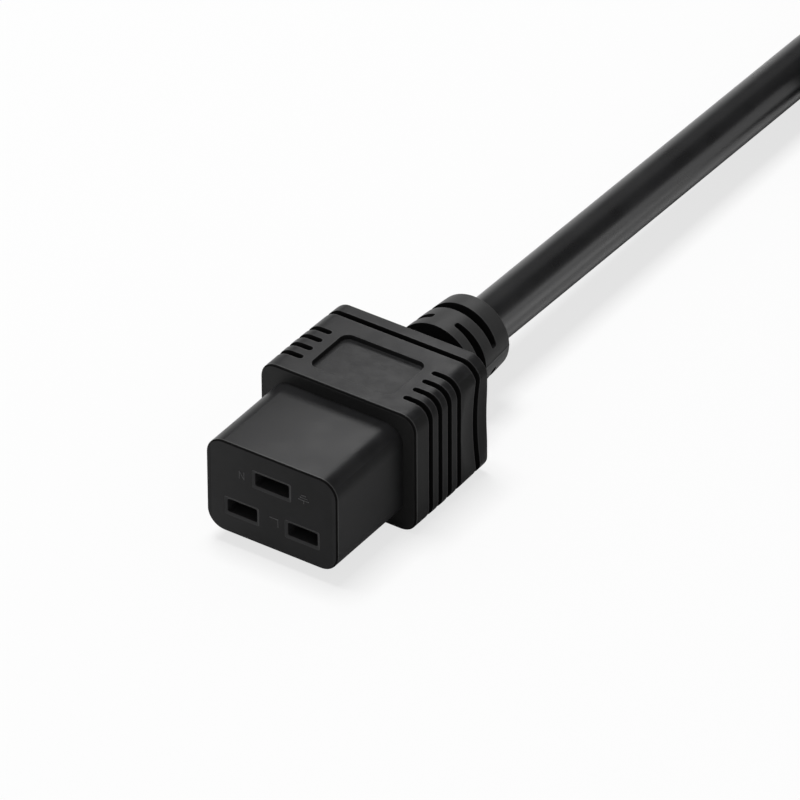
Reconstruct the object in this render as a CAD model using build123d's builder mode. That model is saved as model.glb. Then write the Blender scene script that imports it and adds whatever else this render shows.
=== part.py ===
from build123d import *
import os
from math import cos, pi, radians, sin, tan

os.makedirs("parts", exist_ok=True)

# Mating interface, shared by the connector and by the plug at the far end of the lead
pin_pitch = 13.0
pin_row_height = 4.0
line_slot_width = 6.4
earth_slot_width = 7.3
slot_height = 2.8
slot_corner = 0.4
slot_lead_in = 0.6
slot_lead_depth = 0.25
pin_thickness = 2.0
pin_side_clearance = 0.25

# Nose of the connector
nose_width = 28.0
nose_height = 19.5
nose_corner = 3.65
nose_length = 20.8
nose_edge = 0.35
face_wall = 4.0
chamber_side_room = 0.6
chamber_height = 5.4

# Anchor that holds the nose, or the plug's shroud, in the overmould
anchor_length = 3.25
flange_thickness = 1.8
flange_overhang = 1.2

# Grip block
block_width = 33.3
block_height = 25.1
block_corner = 3.5
block_length = 23.2
block_edge = 0.45

# Ribs of the grip block
grip_groove_count = 4
grip_groove_first = 4.95
grip_groove_pitch = 3.0
grip_groove_width = 1.2
groove_depth = 0.9
grip_groove_reach = 10.9
grip_groove_rounding = 0.58
rear_groove_start = 19.4
rear_groove_width = 1.2

# Dished sides at the rear groove
dish_depth = 0.7
dish_centre = 19.05
dish_length_radius = 15.0
dish_height_radius = 67.0

# Label recess in the top of the connector's grip, left bare
recess_width = 17.7
recess_length = 11.85
recess_start = 3.65
recess_depth = 0.97
recess_corner = 1.75

# Slotted strain relief
relief_length = 20.5
relief_root_radius = 8.8
relief_middle_radius = 8.4
relief_middle = 9.75
relief_end_radius = 7.7
relief_edge = 0.3
relief_core_radius = 5.5
relief_slot_starts = (4.3, 10.0, 14.35)
relief_slot_widths = (3.5, 1.75, 2.1)
relief_bridge_half_angle = 16.5

# Sprung contacts, folded from brass strip, and their crimps
strip_thickness = 0.5
contact_setback = 1.0
contact_pinch_setback = 3.2
contact_length = 14.5
contact_mouth = 3.0
contact_pinch = 1.6
contact_rear_height = 3.7
contact_bend = 0.7
neck_width = 2.4
crimp_setback = 0.2
crimp_length = 4.8
crimp_seam = 0.4

# Cores of the lead inside the overmoulds, measured from the block's front shoulder
conductor_diameter = 1.9
insulation_diameter = 3.3
core_lay_radius = 1.95
core_bend_radius = 2.8
insulation_start = 8.95
core_bend_front = 10.45
core_bend_rear = 15.65
sheath_start = 18.45

# Inner mould round the crimps and the fanned cores
mould_side_wall = 5.05
mould_top_wall = 3.3
mould_corner = 3.0
mould_straight_end = 10.45
mould_taper_end = 18.95
mould_end = 21.45
mould_neck_diameter = 13.0
mould_neck_corner_share = 0.98

# Plug at the far end
shroud_wall = 1.8
nose_clearance = 0.3
nose_end_clearance = 0.5
shroud_length = 24.0
shroud_edge = 0.4
line_pin_length = 17.0
earth_pin_length = 19.0
pin_root = 1.5
pin_tip_chamfer = 0.6

# Lead
cord_diameter = 9.4
coil_turn_radius = 47.0
coil_entry_angle = 180.0
coil_inward_angle = 245.0
coil_exit_angle = 335.0
coil_outer_rise_angle = 120.0
coil_top_end_angle = 300.0
tail_first_run = 14.0

overrun = 1.0

# Places in the part's own frame: axis along Y, mating face towards minus Y, base on the ground
overall_length = nose_length + block_length + relief_length
axis_height = block_height / 2
shoulder_place = nose_length - overall_length / 2
outer_turn_radius = coil_turn_radius + cord_diameter / 2
inner_turn_radius = coil_turn_radius - cord_diameter / 2
coil_centre = (outer_turn_radius, 179.5)
plug_place = (89.6, 76.8)
barrel_diameter = conductor_diameter + 2 * strip_thickness
mould_width = pin_pitch + barrel_diameter + 2 * mould_side_wall
mould_height = 2 * pin_row_height + barrel_diameter + 2 * mould_top_wall


def coil_point(angle, onward):
    """Place in plan on the coil's outer turns, or straight onward from there along the lead."""
    x = coil_centre[0] + outer_turn_radius * cos(radians(angle)) + onward * sin(radians(angle))
    y = coil_centre[1] + outer_turn_radius * sin(radians(angle)) - onward * cos(radians(angle))
    return x, y


# Route of the lead, points chosen by hand: out of the strain relief to the coil
run_route = [
    (0, shoulder_place + sheath_start, axis_height),
    (0, 20.0, axis_height),
    (0, 147.5, 8.64),
    (0, 166.0, cord_diameter / 2),
    (0, coil_centre[1], cord_diameter / 2),
]

# Route of the lead, points chosen by hand: out of the coil to the plug on the ground beside it
tail_route = [
    (*coil_point(coil_exit_angle, 0), 3 * cord_diameter / 2),
    (*coil_point(coil_exit_angle, tail_first_run), 3 * cord_diameter / 2),
    (89.9, 129.5, 3 * cord_diameter / 2),
    (89.6, 113.5, axis_height),
    (plug_place[0], plug_place[1] + sheath_start, axis_height),
]

connector_shoulder = Plane(origin=(0, shoulder_place, axis_height), x_dir=(1, 0, 0), z_dir=(0, -1, 0))
plug_shoulder = Plane(origin=(*plug_place, axis_height), x_dir=(1, 0, 0), z_dir=(0, -1, 0))

# Each pole: its name, its place across the axis, its slot width and its pin length
poles = [
    ("line", (pin_pitch / 2, -pin_row_height), line_slot_width, line_pin_length),
    ("neutral", (-pin_pitch / 2, -pin_row_height), line_slot_width, line_pin_length),
    ("earth", (0, pin_row_height), earth_slot_width, earth_pin_length),
]

# Where each core lies in the round lead: earth on top, the other two below it
core_lay_angles = {"line": -30, "neutral": 210, "earth": 90}

# The plug faces the connector when they mate, so its poles are mirrored
connector_side = 1
plug_side = -1


def behind(shoulder, depth):
    """Plane across the axis, a depth behind the block's front shoulder."""
    return shoulder.offset(-depth)


def beside(shoulder, place, depth):
    """Plane along the axis through a pole, its first direction rearwards and its second upwards."""
    origin = shoulder.from_local_coords((place[0], place[1], -depth))
    return Plane(origin=origin, x_dir=(0, 1, 0), z_dir=(1, 0, 0))


def pad(plane, width, height, corner, length, mode=Mode.ADD):
    """Rounded block of the given section, from the plane rearwards."""
    with BuildSketch(plane) as section:
        RectangleRounded(width, height, corner)
    extrude(section.sketch, amount=-length, mode=mode)


def anchor(shoulder, mode=Mode.ADD):
    """The part of a carrier that the overmould holds: a neck as wide as the nose, and a flange at its rear."""
    pad(shoulder, nose_width, nose_height, nose_corner, anchor_length, mode)
    pad(
        behind(shoulder, anchor_length - flange_thickness),
        nose_width + 2 * flange_overhang,
        nose_height + 2 * flange_overhang,
        nose_corner + flange_overhang,
        flange_thickness,
        mode,
    )


def mould_body(shoulder, mode=Mode.ADD):
    """Outer form of the inner mould: a block at the crimps that tapers to a round neck on the sheath."""
    straight = mould_straight_end - anchor_length
    pad(behind(shoulder, anchor_length), mould_width, mould_height, mould_corner, straight, mode)
    neck_corner = mould_neck_corner_share * mould_neck_diameter / 2
    with BuildSketch(behind(shoulder, mould_straight_end)) as wide_end:
        RectangleRounded(mould_width, mould_height, mould_corner)
    with BuildSketch(behind(shoulder, mould_taper_end)) as neck_end:
        RectangleRounded(mould_neck_diameter, mould_neck_diameter, neck_corner)
    loft([wide_end.sketch, neck_end.sketch], mode=mode)
    neck_plane = behind(shoulder, mould_taper_end)
    neck_length = mould_end - mould_taper_end
    pad(neck_plane, mould_neck_diameter, mould_neck_diameter, neck_corner, neck_length, mode)


def route_radii(points):
    """Bend radius at each inner point: 0.45 of the shorter run over the tangent of half the turn."""
    reach_share = 0.45
    radii = []
    for before, at, after in zip(points, points[1:], points[2:]):
        run_in = Vector(*at) - Vector(*before)
        run_out = Vector(*after) - Vector(*at)
        turn = radians(run_in.get_angle(run_out))
        radii.append(reach_share * min(run_in.length, run_out.length) / tan(turn / 2))
    return radii


def swept_rod(points, radii, diameter):
    """Round rod along straight runs joined by tangent arcs."""
    with BuildPart() as rod:
        with BuildLine() as path:
            FilletPolyline(*points, radius=radii)
        start = path.line @ 0
        heading = path.line % 0
        with BuildSketch(Plane(origin=start, x_dir=(1, 0, 0), z_dir=heading)):
            Circle(diameter / 2)
        sweep()
    length = path.wire().length
    share = rod.part.volume / (pi * diameter**2 / 4 * length)
    print("rod length", round(length, 1), "volume over section times length", round(share, 4))
    return rod.part


def crimp(shoulder, place):
    """Strip floor and rolled barrel round a stripped conductor."""
    barrel_radius = barrel_diameter / 2
    crimp_front = anchor_length + crimp_setback
    with BuildSketch(behind(shoulder, crimp_front)) as barrel:
        with Locations(place):
            Circle(barrel_radius)
            Circle(conductor_diameter / 2, mode=Mode.SUBTRACT)
        with Locations((place[0], place[1] + barrel_radius)):
            Rectangle(crimp_seam, 2 * strip_thickness + crimp_seam, mode=Mode.SUBTRACT)
    extrude(barrel.sketch, amount=-crimp_length)


def neck(shoulder, place, start):
    """Flat strip from a contact or a pin to the rear of its crimp, under the conductor."""
    strip_height = -(conductor_diameter + strip_thickness) / 2
    rear = anchor_length + crimp_setback + crimp_length
    length = rear - start
    with BuildSketch(beside(shoulder, place, start)) as strip:
        with Locations((length / 2, strip_height)):
            Rectangle(length, strip_thickness)
    extrude(strip.sketch, amount=neck_width / 2, both=True)


def sprung_contact(shoulder, place, width):
    """Hairpin contact: one strip folded so that its two leaves pinch a flat pin, on a crimp."""
    front = face_wall + contact_setback - nose_length
    mouth = (contact_mouth + strip_thickness) / 2
    pinch = (contact_pinch + strip_thickness) / 2
    rear = contact_rear_height / 2
    upper = [(0, mouth), (contact_pinch_setback, pinch), (contact_length, rear)]
    lower = [(along, -across) for along, across in reversed(upper)]
    with BuildPart() as contact:
        with BuildSketch(beside(shoulder, place, front)):
            with BuildLine():
                FilletPolyline(*upper, *lower, radius=contact_bend)
            trace(line_width=strip_thickness)
        extrude(amount=width / 2, both=True)
        neck(shoulder, place, front + contact_length)
        crimp(shoulder, place)
    return contact.part


def blade_pin(shoulder, place, width, length):
    """Flat pin with a chamfered tip, on a strip and a crimp."""
    base_front = nose_length + nose_end_clearance - shroud_length
    tip = base_front - length
    with BuildPart() as pin:
        with BuildSketch(behind(shoulder, tip)):
            with Locations(place):
                Rectangle(width, pin_thickness)
        extrude(amount=-(length + pin_root))
        chamfer(pin.faces().sort_by(Axis.Y)[0].edges(), pin_tip_chamfer)
        neck(shoulder, place, base_front + pin_root)
        crimp(shoulder, place)
    return pin.part


def core_points(shoulder, pole, place, side):
    """Corner points of one core, from its crimp to where it enters the sheath."""
    lay = radians(core_lay_angles[pole])
    laid = (side * core_lay_radius * cos(lay), core_lay_radius * sin(lay))
    stations = [
        (place, anchor_length + crimp_setback),
        (place, core_bend_front),
        (laid, core_bend_rear),
        (laid, sheath_start),
    ]
    return [shoulder.from_local_coords((at[0], at[1], -depth)) for at, depth in stations]


def core(points, diameter):
    """Round core along its corner points, with the same bend at both corners."""
    with BuildPart() as rod:
        with BuildLine() as path:
            FilletPolyline(*points, radius=core_bend_radius)
        with BuildSketch(Plane(origin=path.line @ 0, x_dir=(1, 0, 0), z_dir=path.line % 0)):
            Circle(diameter / 2)
        sweep()
    return rod.part


def insulation(shoulder, points, conductor):
    """Coloured sleeve of one core, open at its stripped end, with the conductor's bore through it."""
    with BuildPart() as sleeve:
        add(core(points, insulation_diameter))
        split(bisect_by=behind(shoulder, insulation_start), keep=Keep.BOTTOM)
        add(conductor, mode=Mode.SUBTRACT)
    return sleeve.part


def grip_grooves(shoulder):
    """Cutter for the side grooves: each wraps one side and its corners, and ends rounded above and below."""
    centre = shoulder.origin.X
    with BuildPart() as grooves:
        for number in range(grip_groove_count):
            start = grip_groove_first + number * grip_groove_pitch - grip_groove_width / 2
            with BuildSketch(behind(shoulder, start)):
                RectangleRounded(block_width + 2 * overrun, block_height + 2 * overrun, block_corner)
                RectangleRounded(
                    block_width - 2 * groove_depth,
                    block_height - 2 * groove_depth,
                    block_corner - groove_depth,
                    mode=Mode.SUBTRACT,
                )
                Rectangle(2 * grip_groove_reach, block_height + 2 * overrun, mode=Mode.SUBTRACT)
            extrude(amount=-grip_groove_width)
        reach = grip_groove_reach + groove_depth / 2
        ends = grooves.edges().filter_by(Axis.Z).filter_by_position(Axis.X, centre - reach, centre + reach)
        fillet(ends, grip_groove_rounding)
    return grooves.part


def side_dishes(shoulder, inset):
    """Two tori whose outer rims hollow the sides of the block, set in by a given depth."""
    rim = block_width / 2 - dish_depth - inset
    station = shoulder.origin + Vector(0, dish_centre, 0)
    plan = Plane(origin=station, x_dir=(1, 0, 0), z_dir=(0, 0, 1))
    with BuildPart() as dishes:
        for side in (-1, 1):
            with BuildSketch(plan):
                with Locations((side * (rim + dish_length_radius), 0)):
                    Circle(dish_length_radius)
            pivot = station + Vector(side * (rim + dish_height_radius), 0, 0)
            revolve(axis=Axis(pivot, (0, 1, 0)))
    return dishes.part


def rear_groove(shoulder, core_dishes):
    """Cutter for the groove round the rear of the block, whose floor follows the dished sides."""
    plane = behind(shoulder, rear_groove_start)
    with BuildPart() as floor:
        pad(
            plane,
            block_width - 2 * groove_depth,
            block_height - 2 * groove_depth,
            block_corner - groove_depth,
            rear_groove_width,
        )
        add(core_dishes, mode=Mode.SUBTRACT)
    with BuildPart() as groove:
        pad(
            plane,
            block_width + 2 * overrun,
            block_height + 2 * overrun,
            block_corner + overrun,
            rear_groove_width,
        )
        add(floor.part, mode=Mode.SUBTRACT)
    return groove.part


def relief_profile(shoulder):
    """Half outline of the strain relief in the plane of its axis, a little narrower towards its end."""
    root = shoulder.origin + Vector(0, block_length, 0)
    with BuildSketch(Plane(origin=root, x_dir=(0, 1, 0), z_dir=(1, 0, 0))) as profile:
        with BuildLine():
            ThreePointArc(
                (0, relief_root_radius),
                (relief_middle, relief_middle_radius),
                (relief_length, relief_end_radius),
            )
            Polyline((relief_length, relief_end_radius), (relief_length, 0), (0, 0), (0, relief_root_radius))
        make_face()
        fillet(profile.vertices().group_by(Axis.Y)[-1].sort_by(Axis.Z)[-1], relief_edge)
    return profile.sketch


def relief_slots(shoulder):
    """Cutter for the three rings of slots, each ring with two bridges turned a quarter from the next ring's."""
    outer = relief_root_radius + overrun
    wedge = outer * tan(radians(relief_bridge_half_angle))
    with BuildPart() as slots:
        for number, (start, width) in enumerate(zip(relief_slot_starts, relief_slot_widths)):
            with BuildSketch(behind(shoulder, block_length + start)):
                Circle(outer)
                Circle(relief_core_radius, mode=Mode.SUBTRACT)
                with PolarLocations(0, 2, start_angle=90 * (number % 2)):
                    Polygon((0, 0), (outer, wedge), (outer, -wedge), align=None, mode=Mode.SUBTRACT)
            extrude(amount=-width)
    return slots.part


def grip_moulding(shoulder, sheath, with_recess):
    """Grip block and strain relief, one soft moulding round the carrier, the inner mould and the sheath."""
    with BuildPart() as grip:
        pad(shoulder, block_width, block_height, block_corner, block_length)
        rims = grip.faces().filter_by(Axis.Y).edges()
        fillet(rims, block_edge)
        add(side_dishes(shoulder, 0), mode=Mode.SUBTRACT)
        add(rear_groove(shoulder, side_dishes(shoulder, groove_depth)), mode=Mode.SUBTRACT)
        add(grip_grooves(shoulder), mode=Mode.SUBTRACT)
        if with_recess:
            top = shoulder.origin + Vector(0, recess_start + recess_length / 2, block_height / 2)
            with BuildSketch(Plane(origin=top, x_dir=(1, 0, 0), z_dir=(0, 0, 1))):
                RectangleRounded(recess_width, recess_length, recess_corner)
            extrude(amount=-recess_depth, mode=Mode.SUBTRACT)
        revolve(relief_profile(shoulder), axis=Axis(shoulder.origin, (0, 1, 0)))
        add(relief_slots(shoulder), mode=Mode.SUBTRACT)
        anchor(shoulder, Mode.SUBTRACT)
        mould_body(shoulder, Mode.SUBTRACT)
        add(sheath, mode=Mode.SUBTRACT)
    return grip.part


def inner_moulding(shoulder, held):
    """Hard inner mould that locks the crimps, the fanned cores and the end of the sheath together."""
    with BuildPart() as mould:
        mould_body(shoulder)
        for piece in held:
            add(piece, mode=Mode.SUBTRACT)
    return mould.part


def save(part, name):
    """Label one finished piece and write it out."""
    part.label = name
    export_step(part, f"parts/{name}.step")


# Lead from the strain relief to the coil, and from the coil to the plug
run_radii = route_radii(run_route)
tail_radii = route_radii(tail_route)
print("bend radii of the run", [round(radius, 1) for radius in run_radii])
print("bend radii of the tail", [round(radius, 1) for radius in tail_radii])
cord_run = swept_rod(run_route, run_radii, cord_diameter)
save(cord_run, "cord_run")
cord_tail = swept_rod(tail_route, tail_radii, cord_diameter)
save(cord_tail, "cord_tail")


def coil_plane(angle):
    """Upright plane through the coil's axis, its first direction outwards at the given angle."""
    outward = (cos(radians(angle)), sin(radians(angle)), 0)
    across = (sin(radians(angle)), -cos(radians(angle)), 0)
    return Plane(origin=(*coil_centre, 0), x_dir=outward, z_dir=across)


def coil_tier(start_angle, end_angle, radius, layer):
    """One column of turns in one layer, from the start angle round to the end angle."""
    with BuildSketch(coil_plane(start_angle)) as section:
        with Locations((radius, (layer + 1 / 2) * cord_diameter)):
            Rectangle(cord_diameter, cord_diameter)
    axis = Axis((*coil_centre, 0), (0, 0, 1))
    revolve(section.sketch, axis=axis, revolution_arc=end_angle - start_angle)


# Coil of the length that is put away: two turns side by side below, one and a part turn on them,
# and half a turn on top of the inner ones
with BuildPart() as cord_coil:
    coil_tier(0, 360, inner_turn_radius, 0)
    coil_tier(0, 360, inner_turn_radius, 1)
    coil_tier(coil_inward_angle, coil_entry_angle + 360, outer_turn_radius, 0)
    coil_tier(coil_exit_angle, coil_outer_rise_angle + 360, outer_turn_radius, 1)
    coil_tier(coil_outer_rise_angle, coil_top_end_angle, inner_turn_radius, 2)
save(cord_coil.part, "cord_coil")

# Metal and cores of the connector
connector_held = []
for pole, place, slot_width, pin_length in poles:
    contact = sprung_contact(connector_shoulder, place, slot_width - 2 * pin_side_clearance)
    points = core_points(connector_shoulder, pole, place, connector_side)
    conductor = core(points, conductor_diameter)
    sleeve = insulation(connector_shoulder, points, conductor)
    save(contact, f"{pole}_contact")
    save(conductor, f"{pole}_conductor")
    save(sleeve, f"{pole}_insulation")
    connector_held += [contact, conductor, sleeve]

# Nose: a hard carrier with a chamber for each contact behind its slot
with BuildPart() as nose_housing:
    nose_front = behind(connector_shoulder, -nose_length)
    pad(nose_front, nose_width, nose_height, nose_corner, nose_length)
    fillet(nose_housing.faces().sort_by(Axis.Y)[0].edges(), nose_edge)
    anchor(connector_shoulder)
    for pole, place, slot_width, pin_length in poles:
        with BuildSketch(nose_front):
            with Locations(place):
                RectangleRounded(slot_width + 2 * slot_lead_in, slot_height + 2 * slot_lead_in, slot_corner)
        with BuildSketch(nose_front.offset(-slot_lead_depth)):
            with Locations(place):
                RectangleRounded(slot_width, slot_height, slot_corner)
        loft(mode=Mode.SUBTRACT)
        with BuildSketch(nose_front.offset(-slot_lead_depth)):
            with Locations(place):
                RectangleRounded(slot_width, slot_height, slot_corner)
        extrude(amount=-(face_wall - slot_lead_depth), mode=Mode.SUBTRACT)
        with BuildSketch(nose_front.offset(-face_wall)):
            with Locations(place):
                RectangleRounded(slot_width + 2 * chamber_side_room, chamber_height, slot_corner)
        extrude(amount=-(nose_length + anchor_length - face_wall), mode=Mode.SUBTRACT)
save(nose_housing.part, "nose_housing")

inner_mould = inner_moulding(connector_shoulder, [*connector_held, cord_run])
save(inner_mould, "inner_mould")

grip_overmould = grip_moulding(connector_shoulder, cord_run, True)
save(grip_overmould, "grip_overmould")

# Metal and cores of the plug
plug_held = []
plug_pins = []
for pole, place, slot_width, pin_length in poles:
    turned_place = (plug_side * place[0], place[1])
    pin = blade_pin(plug_shoulder, turned_place, slot_width - 2 * pin_side_clearance, pin_length)
    points = core_points(plug_shoulder, pole, turned_place, plug_side)
    conductor = core(points, conductor_diameter)
    sleeve = insulation(plug_shoulder, points, conductor)
    save(pin, f"plug_{pole}_pin")
    save(conductor, f"plug_{pole}_conductor")
    save(sleeve, f"plug_{pole}_insulation")
    plug_pins.append(pin)
    plug_held += [pin, conductor, sleeve]

# Shroud of the plug: a hard carrier that holds the pins, with room round them for the nose
with BuildPart() as plug_shroud:
    shroud_front = behind(plug_shoulder, -shroud_length)
    room = 2 * nose_clearance
    walls = room + 2 * shroud_wall
    shroud_corner = nose_corner + nose_clearance + shroud_wall
    pad(shroud_front, nose_width + walls, nose_height + walls, shroud_corner, shroud_length)
    fillet(plug_shroud.faces().sort_by(Axis.Y)[0].edges(), shroud_edge)
    anchor(plug_shoulder)
    cavity_depth = nose_length + nose_end_clearance
    cavity_corner = nose_corner + nose_clearance
    pad(shroud_front, nose_width + room, nose_height + room, cavity_corner, cavity_depth, Mode.SUBTRACT)
    for pin in plug_pins:
        add(pin, mode=Mode.SUBTRACT)
save(plug_shroud.part, "plug_shroud")

plug_inner_mould = inner_moulding(plug_shoulder, [*plug_held, cord_tail])
save(plug_inner_mould, "plug_inner_mould")

plug_grip = grip_moulding(plug_shoulder, cord_tail, False)
save(plug_grip, "plug_grip")
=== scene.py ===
"""Looks of a moulded three-pole power connector, its coiled lead and the plug at the lead's far end.

Sizes in the classes are millimetres, in the row's own frame: the axis of the connector lies along Y with its
mating face towards minus Y, and the ground is Z zero. Meshes are made in metres.
"""

from __future__ import annotations

import logging
from dataclasses import dataclass
from enum import Enum
from functools import cache
from math import radians

import bpy
import numpy as np
from mathutils import Matrix, Vector


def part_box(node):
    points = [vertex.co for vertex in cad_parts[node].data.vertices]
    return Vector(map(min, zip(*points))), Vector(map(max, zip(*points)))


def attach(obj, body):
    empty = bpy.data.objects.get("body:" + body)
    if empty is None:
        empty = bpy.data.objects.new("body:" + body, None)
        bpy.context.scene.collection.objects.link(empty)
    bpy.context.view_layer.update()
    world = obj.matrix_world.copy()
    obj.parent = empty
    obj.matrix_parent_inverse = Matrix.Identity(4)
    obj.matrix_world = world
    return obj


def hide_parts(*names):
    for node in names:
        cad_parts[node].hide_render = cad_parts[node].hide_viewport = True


LOG = logging.getLogger("power_connector")
MILLIMETRE = 0.001
TINY = 1e-9
PAINTED_LIGHT = "painted_light"
WHITE = (1.0, 1.0, 1.0)
Array = np.ndarray
Triple = tuple[float, float, float]
Piece = bpy.types.Object
Socket = bpy.types.NodeSocket

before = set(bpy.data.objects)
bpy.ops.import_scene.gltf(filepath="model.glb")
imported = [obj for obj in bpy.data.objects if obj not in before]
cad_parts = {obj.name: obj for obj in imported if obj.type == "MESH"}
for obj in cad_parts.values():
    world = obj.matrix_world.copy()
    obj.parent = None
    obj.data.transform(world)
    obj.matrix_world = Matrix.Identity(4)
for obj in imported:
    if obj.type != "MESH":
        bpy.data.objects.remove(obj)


def metres(points: Array) -> Array:
    """Millimetre points as metres."""
    return np.asarray(points, dtype=float) * MILLIMETRE


def grid_faces(rows: int, columns: int, closed: bool) -> Array:
    """Four-sided faces between neighbouring points of a grid of rings, stored ring after ring.

    Args:
        rows: Number of rings.
        columns: Number of points in a ring.
        closed: True where the last ring joins the first one.

    Returns:
        Array of faces, four point numbers each.
    """
    row = np.arange(rows if closed else rows - 1)[:, None] * columns
    column = np.arange(columns)[None, :]
    below, beside = (row + columns) % (rows * columns), (column + 1) % columns
    corners = (row + column, row + beside, below + beside, below + column)
    return np.stack([corner.ravel() for corner in corners], axis=1)


def mesh_object(name: str, points: Array, faces: Array, sharp_angle: float = 180.0) -> Piece:
    """New object whose mesh has the given points, in millimetres, and smooth faces.

    Args:
        name: Name of the piece.
        points: Points, three numbers each.
        faces: Faces, the same number of corners each.
        sharp_angle: Edges that turn by more than this, in degrees, are shaded as sharp.

    Returns:
        The new object, linked to the scene.
    """
    mesh = bpy.data.meshes.new(name)
    mesh.from_pydata(metres(points).reshape(-1, 3).tolist(), [], faces.tolist())
    mesh.polygons.foreach_set("use_smooth", np.ones(len(mesh.polygons), dtype=bool))
    if sharp_angle < 180.0:
        mesh.set_sharp_from_angle(angle=radians(sharp_angle))
    mesh.update()
    piece = bpy.data.objects.new(name, mesh)
    bpy.context.scene.collection.objects.link(piece)
    return piece


class Wiring:
    """The nodes of one material or world, and the links between them."""

    noise_middle = (0.35, 0.65)

    def __init__(self, owner: bpy.types.Material | bpy.types.World) -> None:
        """Turn on the owner's nodes."""
        owner.use_nodes = True
        self.nodes, self.links = owner.node_tree.nodes, owner.node_tree.links

    def feed(self, node: bpy.types.Node, inputs: dict) -> None:
        """Fill some inputs of a node. A colour has three parts.

        Args:
            node: The node.
            inputs: Plain values or other nodes' outputs, by the names or numbers of the inputs.
        """
        for name, value in inputs.items():
            if isinstance(value, Socket):
                self.links.new(value, node.inputs[name])
            else:
                colour = node.inputs[name].type == "RGBA"
                node.inputs[name].default_value = (*value, 1.0) if colour else value

    def add(self, kind: str, inputs: dict | None = None, **settings: str) -> bpy.types.Node:
        """New node with some of its settings made and its inputs filled.

        Args:
            kind: Type of the node.
            inputs: What feed takes.
            settings: Values by the settings' names.

        Returns:
            The node.
        """
        node = self.nodes.new(kind)
        for name, value in settings.items():
            setattr(node, name, value)
        self.feed(node, inputs or {})
        return node

    def calculated(self, operation: str, *terms: float | Socket) -> Socket:
        """Result of one sum, its terms plain numbers or outputs."""
        return self.add("ShaderNodeMath", dict(enumerate(terms)), operation=operation).outputs["Value"]

    def blended(self, share: Socket, first: Socket, second: float | tuple) -> Socket:
        """Change from an output's colour or number to a plain one, by a share.

        Args:
            share: Share of the second.
            first: Output with the first colour or number.
            second: The second colour or number.

        Returns:
            The output with the result.
        """
        node = self.add("ShaderNodeMix", data_type="FLOAT" if isinstance(second, float) else "RGBA")
        enabled = [number for number, socket in enumerate(node.inputs) if socket.enabled]
        self.feed(node, dict(zip(enabled, (share, first, second))))
        return next(socket for socket in node.outputs if socket.enabled)

    def noise(self, place: Socket, size: float, octaves: float) -> Socket:
        """Noise with features of a size in millimetres, and finer ones in them."""
        inputs = {"Vector": place, "Scale": 1.0 / (size * MILLIMETRE), "Detail": octaves}
        return self.add("ShaderNodeTexNoise", inputs).outputs["Fac"]

    def ramp(self, value: Socket, low: tuple, high: tuple) -> Socket:
        """Colour that runs from low to high over the middle of a noise value.

        Args:
            value: The noise value.
            low: Colour below the middle.
            high: Colour above the middle.

        Returns:
            The output with the colour.
        """
        node = self.add("ShaderNodeValToRGB", {"Fac": value})
        for element, position, colour in zip(node.color_ramp.elements, self.noise_middle, (low, high)):
            element.position, element.color = position, (*colour, 1.0)
        return node.outputs["Color"]

    def spread(
        self, value: Socket, low: float, high: float | Socket, span: tuple, easing: str = "LINEAR"
    ) -> Socket:
        """Number that runs from low to high while a value runs over its span.

        Args:
            value: The value.
            low: Number at the span's start.
            high: Number at the span's end.
            span: Lowest and highest value.
            easing: How the number runs.

        Returns:
            The output with the number.
        """
        names = ("Value", "From Min", "From Max", "To Min", "To Max")
        inputs = dict(zip(names, (value, *span, low, high)))
        return self.add("ShaderNodeMapRange", inputs, interpolation_type=easing).outputs["Result"]

    def bumped(self, height: Socket, depth: float, **normal: Socket) -> Socket:
        """Normal of a surface raised by a height value times a depth in metres."""
        return self.add("ShaderNodeBump", {"Height": height, "Distance": depth, **normal}).outputs["Normal"]

    def mixed(self, share: Socket, first: Socket, second: Socket) -> Socket:
        """Shader that changes from the first to the second by a share."""
        return self.add("ShaderNodeMixShader", {0: share, 1: first, 2: second}).outputs["Shader"]

    def eye_or_mirror(self) -> Socket:
        """One for rays from the camera, from a glossy surface or through glass, and zero for the rest.

        Returns:
            The output with the value.
        """
        rays = self.add("ShaderNodeLightPath").outputs
        seen = self.calculated("MAXIMUM", rays["Is Camera Ray"], rays["Is Glossy Ray"])
        return self.calculated("MAXIMUM", seen, rays["Is Transmission Ray"])


@dataclass(frozen=True)
class Zone:
    """Stretch of a piece along Y with a look of its own: all of it, or what lies within or beyond a window.

    The stretch has a first and a last place, and the window a centre across and up with its half sizes.
    """

    along: tuple[float, float]
    window: tuple[float, float, float, float] | None
    within: bool
    colour: Triple
    roughness: float

    def inside(self, wiring: Wiring, place: bpy.types.NodeOutputs) -> Socket:
        """One inside the zone and zero elsewhere.

        Args:
            wiring: Nodes of the material.
            place: Outputs with the parts of the Object coordinates.

        Returns:
            The output with the value.
        """
        first, last = (limit * MILLIMETRE for limit in self.along)
        after = wiring.calculated("GREATER_THAN", place["Y"], first)
        before = wiring.calculated("LESS_THAN", place["Y"], last)
        stretch = wiring.calculated("MULTIPLY", after, before)
        if self.window is None:
            return stretch
        across, up, half_width, half_height = (size * MILLIMETRE for size in self.window)
        beside = wiring.calculated("COMPARE", place["X"], across, half_width)
        level = wiring.calculated("COMPARE", place["Z"], up, half_height)
        window = wiring.calculated("MULTIPLY", beside, level)
        if not self.within:
            window = wiring.calculated("SUBTRACT", 1.0, window)
        return wiring.calculated("MULTIPLY", stretch, window)


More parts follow.
